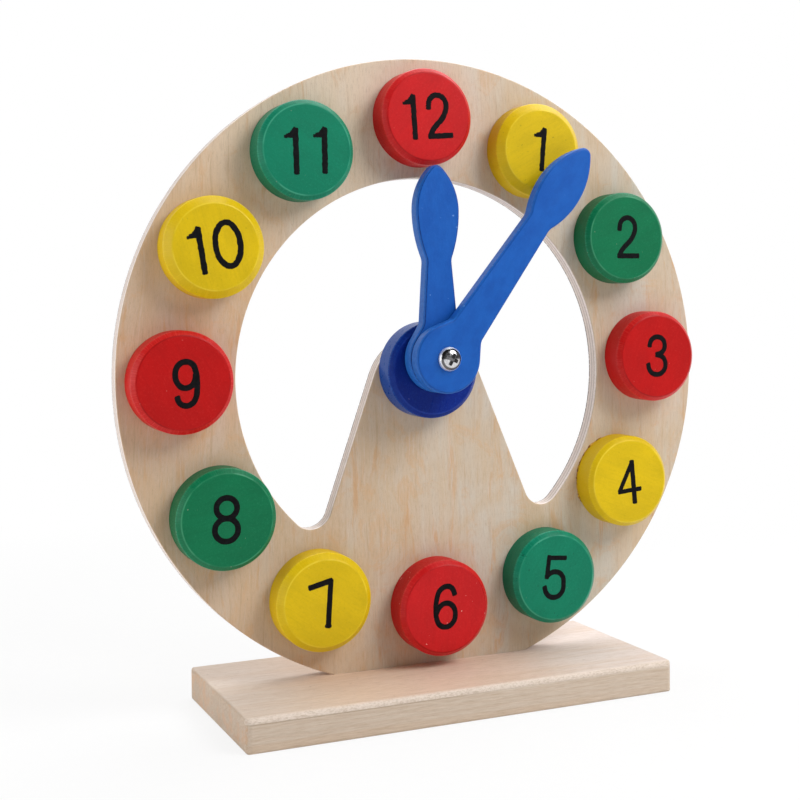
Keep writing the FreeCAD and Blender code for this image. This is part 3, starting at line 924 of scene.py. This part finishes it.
# %% Draw and thicken a hand
def model_hand(reach, belly_rise, front, back, turn):
    axis = Vector((pivot.x, front, pivot.z))

    def at(across, along):
        return axis + Vector((across, 0, along))

    neck = reach - LEAF_LENGTH
    belly = neck + belly_rise
    root = Vector((ARM_ROOT_HALF, BOSS_RADIUS))
    lean = math.atan2(root.y, root.x) - math.acos(BOSS_RADIUS / root.length)
    cheek = BOSS_RADIUS * Vector((math.cos(lean), math.sin(lean)))
    swell = LEAF_HALF - NECK_HALF
    lower = (belly_rise ** 2 + swell ** 2) / (2 * swell)
    climb = reach - belly - TIP_RADIUS
    upper = (LEAF_HALF ** 2 - TIP_RADIUS ** 2 + climb ** 2) / (2 * (LEAF_HALF - TIP_RADIUS))
    sweep = math.atan2(climb, upper - LEAF_HALF)
    lower_sweep = math.asin(belly_rise / lower)
    here = start_outline(at(0, -BOSS_RADIUS))
    here = arc_about(here, axis, -(math.pi / 2 + lean), 40)
    here = line_to(here, at(*root))
    here = line_to(here, at(NECK_HALF, neck))
    here = arc_about(here, at(LEAF_HALF - lower, belly), -lower_sweep, 8)
    here = arc_about(here, at(LEAF_HALF - upper, belly), -sweep, 14)
    arc_about(here, at(0, reach - TIP_RADIUS), -(math.pi / 2 - sweep), 8)
    select_all()
    bpy.ops.transform.translate(value=(-pivot.x, 0, 0))
    mirror_half()
    bpy.ops.transform.translate(value=(pivot.x, 0, 0))
    bpy.ops.mesh.edge_face_add()

    def near(across, along):
        spots = (at(across, along), at(-across, along))
        return lambda point: min((point.co - spot).length for spot in spots) < 10 * SEAM

    arm_lean = math.atan2(ARM_ROOT_HALF - NECK_HALF, neck - BOSS_RADIUS)
    root_turn = math.atan2(cheek.x - root.x, root.y - cheek.y) - arm_lean
    neck_turn = lower_sweep + arm_lean
    for corner, fillet, bend in ((root, SHOULDER_FILLET, root_turn),
                                 ((NECK_HALF, neck), NECK_FILLET, neck_turn)):
        pick("verts", near(*corner))
        bpy.ops.mesh.bevel(offset=fillet * math.tan(bend / 2), segments=6, affect="VERTICES")
    select_all()
    push((0, back - front, 0))
    face_outwards()
    pick("edges", is_level)
    bpy.ops.mesh.bevel(offset=HAND_EDGE_ROUND, segments=5, affect="EDGES")
    hand = leave_edit()
    drill(hand, axis, BORE_RADIUS, 4 * (back - front))
    hand.data.transform(turn_about(axis, turn))
    return tidy_mesh(hand)


hour_front, hour_back = (corner.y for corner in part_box("hour_hand"))
minute_front, minute_back = (corner.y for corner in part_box("minute_hand"))
short_hand = model_hand(SHORT_REACH, SHORT_BELLY_RISE, hour_front, hour_back, SHORT_TURN)
long_hand = model_hand(LONG_REACH, LONG_BELLY_RISE, minute_front, minute_back, LONG_TURN)


# %% [markdown]
# ## Blue paint on the hands
# The hands carry one coat of satin blue. The rounded rim is painted a shade lighter and a little streaky, a
# painted highlight, and the long grain can just be seen and felt. The grain follows each hand, so the finish
# is turned with it.

# %% Finish of the hands
def hand_paint(name, turn, dark_line):
    paint = Finish(name)
    place = paint.millimetres(pivot, turn)
    grain = paint.noise(paint.stretch(place, (1, 1, 0.05)), 1.7, 5, 0.65)
    brushed = paint.noise(paint.stretch(place, (1, 1, 0.6), (4, 1, 8)), 0.25, 4, 0.65)
    facing = paint.maths("ABSOLUTE", paint.surface_direction()["Y"])
    patchy = paint.noise(place, 0.9, 4, 0.7)
    mottle = paint.noise(place, 2.2, 4, 0.75)
    colour = paint.layers(
        (20, 92, 182),
        (brushed, 0.35, 0.7, 1.0, (15, 83, 172)),
        (grain, 0.55, 0.85, 0.08, (14, 60, 140)),
        (mottle, 0.52, 0.7, 0.14, (58, 122, 205)))
    # The rounded rim is painted lighter in patches: a painted highlight
    side = paint.between(facing, 0.8, 0.5)
    colour = paint.mix(paint.times(side, paint.between(patchy, 0.35, 0.7, 0.15, 0.6)), colour,
                       (50, 122, 208))
    # A dark line runs in patches where the face turns into the rounded rim
    line = paint.times(paint.between(facing, 0.76, 0.84), paint.between(facing, 0.97, 0.90),
                       paint.between(patchy, 0.3, 0.6, 0.4 * dark_line, dark_line))
    colour = paint.mix(line, colour, (6, 32, 96))
    dust = paint.noise(paint.stretch(place, (1, 1, 1), (5, 3, 11)), 0.8, 1, 0.2)
    colour = paint.mix(paint.between(dust, 0.79, 0.81, 0.0, 0.5), colour, (120, 170, 225))
    dents = paint.noise(paint.stretch(place, (1, 1, 0.4), (2, 2, 2)), 0.5, 3, 0.6)
    normal = paint.bump(mottle, 0.035 * MM)
    normal = paint.bump(dents, 0.08 * MM, normal)
    return paint.done(colour, paint.between(grain, 0.3, 0.8, 0.4, 0.54), normal, Specular_IOR_Level=0.22)


short_blue = hand_paint("short_hand_blue", SHORT_TURN, 0.85)
long_blue = hand_paint("long_hand_blue", LONG_TURN, 0.35)
dress(short_hand, "short_hand", "hour_pointer", short_blue, "hour_hand")
dress(long_hand, "long_hand", "minute_pointer", long_blue, "minute_hand")


# %% [markdown]
# ## Washers and screw
# Thin fibre washers keep each hand from rubbing the next. One pan-head screw holds the stack. The screw is
# turned like the discs, from half a profile with a domed head, and its cross recess is cut with two tapered
# blades.

# %% Model the washers
WASHER_EASE = 0.08 * MM
WASHER_STEPS = 64


def model_washer(node):
    low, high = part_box(node)
    middle = (low + high) / 2
    clean_slate()
    bpy.ops.mesh.primitive_cylinder_add(vertices=WASHER_STEPS, radius=(high.x - low.x) / 2,
                                        depth=high.y - low.y, location=middle, rotation=LIE_BACK)
    settle()
    edit()
    pick("edges", is_level)
    bpy.ops.mesh.bevel(offset=WASHER_EASE, segments=2, affect="EDGES")
    washer = leave_edit()
    drill(washer, middle, BORE_RADIUS, 10 * MM)
    return tidy_mesh(washer)


def washer_fibre():
    fibre = Finish("pressed_fibre")
    place = fibre.millimetres(pivot)
    felt = fibre.noise(place, 3.0, 5, 0.75)
    colour = fibre.mix(fibre.between(felt, 0.3, 0.7), (206, 200, 186), (176, 168, 152))
    return fibre.done(colour, fibre.between(felt, 0.3, 0.7, 0.8, 0.92), fibre.bump(felt, 0.05 * MM))


fibre_finish = washer_fibre()
dress(model_washer("hub_washer"), "hub_fibre_washer", "stand", fibre_finish, "hub_washer")
dress(model_washer("hand_washer"), "hand_fibre_washer", "hour_pointer", fibre_finish,
      "hand_washer")

# %% Turn the screw and cut its recess
SCREW_RADIUS = 1.95 * MM
SCREW_POINT = 3.0 * MM
SCREW_TIP = 0.4 * MM
HEAD_RADIUS = 3.75 * MM
HEAD_HEIGHT = 2.4 * MM
RECESS_SPAN, RECESS_WIDTH, RECESS_DEPTH = 5.6 * MM, 1.6 * MM, 1.6 * MM
RECESS_TAPER = 0.55
SCREW_STOPPED_AT = math.radians(24)

crown, tip = (corner.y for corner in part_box("pivot_screw"))


def on_axis(radius, y):
    return Vector((pivot.x + radius, y, pivot.z))


def model_screw():
    """A quarter circle from crown to rim, squeezed to the height of the head, then the shank."""
    under_head = crown + HEAD_HEIGHT
    start_outline(on_axis(0, crown))
    bpy.ops.mesh.spin(steps=16, angle=-math.pi / 2, center=on_axis(0, crown + HEAD_RADIUS), axis=(0, 0, 1))
    select_all()
    bpy.ops.transform.resize(value=(1, HEAD_HEIGHT / HEAD_RADIUS, 1), center_override=on_axis(0, crown))
    pick("verts", lambda point: point.co.x > pivot.x + HEAD_RADIUS - SEAM)
    here = on_axis(HEAD_RADIUS, under_head)
    for radius, y in ((SCREW_RADIUS, under_head), (SCREW_RADIUS, tip - SCREW_POINT), (SCREW_TIP, tip),
                      (0, tip)):
        here = line_to(here, on_axis(radius, y))
    turn_profile(72, on_axis(0, 0))
    return leave_edit()


def recess_blade(wide, tall):
    """One blade of the cross, narrower at the bottom of the recess."""
    clean_slate()
    bpy.ops.mesh.primitive_cube_add(size=1, location=on_axis(0, crown), scale=(wide, 2 * RECESS_DEPTH, tall))
    settle()
    edit()
    pick("faces", lambda face: all_points(face, lambda place: place.y > crown))
    bpy.ops.transform.resize(value=(RECESS_TAPER, 1, RECESS_TAPER), center_override=on_axis(0, crown))
    return leave_edit()


screw = model_screw()
for wide, tall in ((RECESS_SPAN, RECESS_WIDTH), (RECESS_WIDTH, RECESS_SPAN)):
    cut_with(screw, recess_blade(wide, tall))
screw.data.transform(turn_about(pivot, SCREW_STOPPED_AT))
tidy_mesh(screw)


# %% [markdown]
# ## Bright plating
# The screw is plated steel, the only metal on the clock. Real plating is never a perfect mirror: it has a
# faint haze and hairline scratches round the head from the driver, and the recess is a darker grey. A dark
# ring and a bright rim round the dome are painted reflections.

# %% Finish of the screw
def plated_steel():
    steel = Finish("bright_plated_steel")
    place = steel.millimetres(on_axis(0, crown))
    x, y, z = steel.axes(place)
    radius = steel.distance(x, z)
    haze = steel.noise(place, 1.4, 4, 0.6)
    scratches = steel.noise(steel.stretch(place, (3.0, 1, 0.3)), 4.0, 3, 0.7)
    deep = steel.times(steel.between(y, 0.35, 1.0), steel.between(radius, 2.6, 2.2))
    # A dark ring is painted at the foot of the dome: a painted reflection of the dark studio in front
    ring = steel.times(steel.between(radius, 2.5, 2.8), steel.between(radius, 3.4, 3.2))
    # The outer rim is painted near white: a painted highlight of the white surround
    rim = steel.between(radius, 3.3, 3.45)
    colour = steel.mix(steel.between(haze, 0.3, 0.7), (226, 226, 228), (200, 200, 205))
    for share, code in ((steel.times(deep, 0.6), (90, 88, 88)), (steel.times(ring, 0.85), (52, 50, 52)),
                        (rim, (250, 250, 250))):
        colour = steel.mix(share, colour, code)
    rough = steel.plus(steel.between(scratches, 0.4, 0.75, 0.12, 0.3), steel.times(deep, 0.25))
    rough = steel.plus(rough, steel.times(rim, 0.4))
    return steel.done(colour, rough, steel.bump(scratches, 0.01 * MM), Metallic=1.0)


dress(screw, "pan_head_screw", "stand", plated_steel(), "pivot_screw")


# %% [markdown]
# ## The numbers
# The numbers are pressed on in black ink, in plain narrow figures. Each figure is a few pen strokes: a
# smooth curve through a handful of points with a round pen. The strokes are joined and merged into one
# solid, roughened a little, because ink never takes evenly on wood, and then pressed flat into a film.

# %% Pen strokes of each figure, in millimetres from its middle
PEN = 1.85
# A stroke's end runs on by this share of its width, while it narrows to this share of it
PEN_ROUND, PEN_TIP = 0.14, 0.6
STROKES = {
    "0": [("ring", 0.0, 0.0, 3.7, 6.5)],
    "1": [(PEN, [(0, -7.0), (0, -2.5), (0, 2.5), (0, 6.6)]),
          (1.0, [(-3.5, 4.15), (-1.9, 4.2), (-0.4, 4.2)]),
          (1.1, [(-2.7, 4.5), (-1.4, 4.9), (-0.3, 5.2)]),
          (1.1, [(-1.5, 5.0), (-0.6, 6.0), (-0.1, 6.8)])],
    "2": [(PEN, [(-3.3, 2.2), (-3.2, 3.4), (-2.6, 5.2), (-0.4, 6.4), (1.9, 5.5), (2.8, 3.4),
                 (2.4, 1.2), (1.1, -1.0), (-1.4, -3.4), (-2.8, -5.1), (-3.2, -6.3)]),
          (PEN, [(-4.0, -6.4), (0, -6.4), (4.2, -6.4)])],
    "3": [(PEN, [(-2.9, 3.1), (-2.7, 4.2), (-1.7, 5.8), (0.1, 6.4), (2.3, 5.6), (3.2, 3.6),
                 (2.4, 1.4), (-0.3, 0.35)]),
          (PEN, [(-0.3, 0.35), (2.3, -0.5), (3.45, -2.9), (2.6, -5.3), (0.1, -6.4),
                 (-2.6, -5.3), (-3.55, -2.6)])],
    "4": [(1.65, [(1.0, 6.6), (-1.9, 1.9), (-4.7, -2.7)]),
          (1.6, [(-5.1, -2.7), (-0.5, -2.7), (3.8, -2.7)]),
          (PEN, [(1.0, 7.2), (1.0, 2.5), (1.0, -2.5), (1.0, -7.3)])],
    "5": [(1.6, [(3.9, 6.5), (0.5, 6.5), (-3.1, 6.5)]),
          (1.7, [(-2.5, 7.2), (-2.75, 3.0), (-2.95, -0.3)]),
          (PEN, [(-3.2, 0.1), (-1.9, 1.3), (-0.1, 1.9), (2.5, 1.0), (3.5, -1.9), (2.8, -5.2),
                 (0.2, -6.5), (-2.4, -5.5), (-3.6, -2.9)])],
    "6": [(PEN, [(3.2, 3.5), (2.8, 4.8), (1.8, 6.1), (0.2, 6.45), (-1.9, 5.4), (-3.1, 2.6),
                 (-3.4, -0.3), (-3.2, -3.3), (-2.1, -5.6), (0.1, -6.4), (2.3, -5.4),
                 (3.3, -2.6), (2.3, 0.2), (0.1, 1.15), (-2.1, 0.1), (-3.2, -1.8)])],
    "7": [(PEN, [(-2.4, 6.0), (1.2, 6.0), (5.2, 6.0)]),
          (1.8, [(4.9, 6.3), (3.4, 1.6), (1.9, -3.1), (0.55, -7.5)]),
          (2.3, [(0.7, -6.9), (0.6, -7.2), (0.5, -7.5)])],
    "8": [("ring", 0.1, 3.4, 3.1, 3.05), ("ring", -0.05, -3.05, 3.5, 3.4)],
    "9": [(PEN, [(2.9, 2.6), (2.5, 0.7), (1.5, -0.7), (-0.4, -1.25), (-2.2, -0.3), (-3.15, 2.6),
                 (-2.2, 5.4), (-0.1, 6.4), (2.0, 5.6), (2.9, 3.5), (3.2, 0.4), (3.1, -1.8),
                 (2.6, -4.3), (1.3, -6.0), (-0.6, -6.4), (-2.3, -5.4), (-2.9, -3.6)])],
}
# Where each figure sits on its disc, from the disc's middle, and its anticlockwise turn in degrees
STAMPS = {
    1: [("1", 0.6, 0.2, -5)],
    2: [("2", 0.5, 0.3, 0)],
    3: [("3", -0.2, 0.2, 0)],
    4: [("4", 0.4, -0.3, 5)],
    5: [("5", -0.7, 0.0, -5)],
    6: [("6", -0.2, 0.7, 0)],
    7: [("7", -1.8, -0.1, 13.5)],
    8: [("8", -0.4, 0.2, 0)],
    9: [("9", 0.7, -0.2, 2)],
    10: [("1", -4.5, -1.0, 9), ("0", 3.5, 0.8, 8)],
    11: [("1", -3.6, -0.4, 1.6), ("1", 5.5, 0.1, 0.5)],
    12: [("1", -5.0, -0.3, 3.5), ("2", 3.4, 0.4, 5)],
}
print("figures drawn:", "".join(sorted(STROKES)))

# %% Draw, merge and press the figures
INK_ROUGHNESS = 0.035 * MM
RAGGED_INK = 0.11 * MM
RAGGED_NUMBERS = (1, 10, 11, 12)
FILM = 0.035


def pen_stroke(stroke):
    """One stroke as a round tube standing on y = 0."""
    if stroke[0] == "ring":
        x, z, half_width, half_height = stroke[1:]
        width, closed = PEN, True
        eighths = [math.radians(45 * step) for step in range(8)]
        points = [(x + half_width * math.sin(a), z + half_height * math.cos(a)) for a in eighths]
    else:
        width, points = stroke
        closed = False
        ends = ((Vector(points[0]), Vector(points[1])), (Vector(points[-1]), Vector(points[-2])))
        tips = [end + PEN_ROUND * width * (end - before).normalized() for end, before in ends]
        points = [tips[0], *points, tips[1]]
    tip = 1.0 if closed else PEN_TIP
    radii = [tip, *[1.0] * (len(points) - 2), tip]
    return round_line([Vector((x, 0, z)) * MM for x, z in points], radii, width / 2 * MM, 6, 3, closed)


def press_figures(number):
    """All strokes of one disc's number as one thin film on the disc's face."""
    pieces = []
    for figure, x, z, turn in STAMPS[number]:
        place = Matrix.Translation(Vector((x, 0, z)) * MM) @ Matrix.Rotation(-math.radians(turn), 4, "Y")
        for stroke in STROKES[figure]:
            clean_slate()
            piece = pen_stroke(stroke)
            piece.data.transform(place)
            pieces.append(piece)
    clean_slate(pieces[0])
    for piece in pieces:
        piece.select_set(True)
    if len(pieces) > 1:
        bpy.ops.object.join()
    edit()
    merge_doubles()
    face_outwards()
    ragged = RAGGED_INK if number in RAGGED_NUMBERS else INK_ROUGHNESS
    bpy.ops.transform.vertex_random(offset=ragged, uniform=1.0, normal=0.0, seed=number)
    if len(pieces) > 1:
        select_all()
        bpy.ops.mesh.intersect_boolean(operation="UNION", use_self=True, solver="EXACT")
    ink = leave_edit()
    centre = disc_centres[number]
    flatten = Matrix.Scale(FILM, 4, (0, 1, 0))
    ink.data.transform(Matrix.Translation((centre.x, disc_face, centre.z)) @ flatten)
    return tidy_mesh(ink)


def black_ink():
    ink = Finish("black_number_ink")
    place = ink.millimetres()
    mottle = ink.noise(place, 1.3, 4, 0.65)
    grain = ink.noise(ink.stretch(place, (1, 1, 0.1)), 2.0, 4, 0.7)
    colour = ink.mix(ink.between(mottle, 0.35, 0.7), (6, 6, 8), (20, 20, 24))
    return ink.done(colour, ink.between(mottle, 0.3, 0.7, 0.55, 0.7), ink.bump(grain, 0.03 * MM),
                    Specular_IOR_Level=0.1)


ink_finish = black_ink()
for number in STAMPS:
    dress(press_figures(number), "pressed_number_%02d" % number, "stand", ink_finish)


# %% [markdown]
# ## Studio
# A white sweep, a large soft key light high on the right, a smaller one on the left that catches the edges,
# a top light behind the dial, and an even surround. The lights are plain, so a colour renders about as it
# was mixed. The floor stays white to the camera and only darkens a little where the clock shades it. The
# white surround lies behind the clock, as in a real studio, so satin paint doesn't mirror it and go milky.

# %% Floor and background
FLOOR_HALF = 3.0
SHADOW_SHARE = 0.14
SHADOW_FADES = (230.0, 420.0)


def white_sweep():
    sweep = Finish("white_sweep")
    place = sweep.millimetres()
    speckle = sweep.noise(place, 0.2, 2)
    paper = sweep.mix(sweep.between(speckle, 0.3, 0.7), (0.80, 0.80, 0.80, 1), (0.82, 0.82, 0.82, 1))
    sweep.done(paper, 0.9, Specular_IOR_Level=0.0)
    glow = sweep.add("Emission", {"Color": (1, 1, 1, 1), "Strength": 1.0})
    x, y, z = sweep.axes(place)
    white = sweep.between(sweep.distance(x, y), *SHADOW_FADES, 1 - SHADOW_SHARE, 1.0)
    light_path = sweep.add("LightPath", {}).outputs
    seen = sweep.maths("MAXIMUM", light_path["Is Camera Ray"], light_path["Is Glossy Ray"])
    seen = sweep.maths("MAXIMUM", seen, light_path["Is Transmission Ray"])
    blend = sweep.add("MixShader", {0: sweep.times(seen, white)})
    sweep.feed(blend.inputs[1], sweep.shader.outputs[0])
    sweep.feed(blend.inputs[2], glow.outputs[0])
    sweep.feed(sweep.tree.nodes["Material Output"].inputs["Surface"], blend.outputs[0])
    return sweep.material


clean_slate()
bpy.ops.mesh.primitive_plane_add(size=2 * FLOOR_HALF, location=(0, 0, 0))
floor = bpy.context.object
floor.name = "studio_floor"
floor.data.materials.append(white_sweep())

# %% Surround and lights
SURROUND = 0.25
DARK_FRONT = 0.06
# Each light's name, place in metres, size in metres and power in watts
LIGHTS = (
    ("key_light", (0.44, -0.47, 0.64), 0.42, 5.5),
    ("edge_light", (-0.64, 0.0, 0.22), 0.45, 1.8),
    ("top_light", (0.25, 0.28, 0.95), 0.9, 6.7),
)


def white_surround():
    """White to the camera, white behind the clock to gloss, and a plain low level as light."""
    world = bpy.data.worlds.new("white_surround")
    world.use_nodes = True
    nodes, links = world.node_tree.nodes, world.node_tree.links
    sky = nodes["Background"]
    sky.inputs["Color"].default_value = (1, 1, 1, 1)
    rays = nodes.new("ShaderNodeLightPath").outputs
    direction = nodes.new("ShaderNodeTexCoord").outputs["Generated"]
    split = nodes.new("ShaderNodeSeparateXYZ")
    links.new(direction, split.inputs[0])

    def blend(share, a, b):
        """A number that goes from a to b as the share rises."""
        span = nodes.new("ShaderNodeMapRange")
        links.new(share, span.inputs["Value"])
        for socket, value in ((span.inputs["To Min"], a), (span.inputs["To Max"], b)):
            if isinstance(value, float):
                socket.default_value = value
            else:
                links.new(value, socket)
        return span

    mirrored = blend(split.outputs["Y"], DARK_FRONT, 1.0)
    mirrored.inputs["From Min"].default_value = -0.1
    mirrored.inputs["From Max"].default_value = 0.4
    strength = blend(rays["Is Glossy Ray"], SURROUND, mirrored.outputs[0])
    strength = blend(rays["Is Transmission Ray"], strength.outputs[0], 1.0)
    strength = blend(rays["Is Camera Ray"], strength.outputs[0], 1.0)
    links.new(strength.outputs[0], sky.inputs["Strength"])
    bpy.context.scene.world = world


def soft_light(name, place, size, watts):
    """A square area light that looks at the middle of the dial."""
    clean_slate()
    bpy.ops.object.light_add(type="AREA", location=place)
    light = bpy.context.object
    light.name = name
    light.data.size = size
    light.data.energy = watts
    light.rotation_euler = (ring_centre - Vector(place)).to_track_quat("-Z", "Y").to_euler()
    print("%-14s %5.1f W" % (name, watts))


white_surround()
for name, place, size, watts in LIGHTS:
    soft_light(name, place, size, watts)

# %% [markdown]
# ## Camera
# The camera stands to the left of the clock, a little above its middle, and looks slightly down and to the
# right. Its place and angles are written out, so the view can be set up again on any machine.

# %% Place the camera
CAMERA_PLACE = Vector((-179.9, -410.3, 126.8)) * MM
LOOK_RIGHT = math.radians(25.51)
LOOK_DOWN = math.radians(0.89)
CAMERA_ROLL = math.radians(-0.50)
FRAME_PIXELS = 800
FOCAL_PIXELS = 1397
CENTRE_X, CENTRE_Y = 476.6, 321.6
SENSOR_MM = 36

camera_data = bpy.data.cameras.new("studio_camera")
camera = bpy.data.objects.new("studio_camera", camera_data)
bpy.context.scene.collection.objects.link(camera)
camera_data.sensor_width = SENSOR_MM
camera_data.lens = FOCAL_PIXELS / FRAME_PIXELS * camera_data.sensor_width
camera_data.shift_x = (FRAME_PIXELS / 2 - CENTRE_X) / FRAME_PIXELS
camera_data.shift_y = (CENTRE_Y - FRAME_PIXELS / 2) / FRAME_PIXELS
camera_data.clip_start = 0.01
camera.matrix_world = (Matrix.Translation(CAMERA_PLACE) @ Matrix.Rotation(-LOOK_RIGHT, 4, "Z")
                       @ Matrix.Rotation(math.pi / 2 - LOOK_DOWN, 4, "X")
                       @ Matrix.Rotation(CAMERA_ROLL, 4, "Z"))
bpy.context.scene.camera = camera
bpy.context.scene.view_settings.view_transform = "Standard"
print("lens %.1f mm" % camera_data.lens)
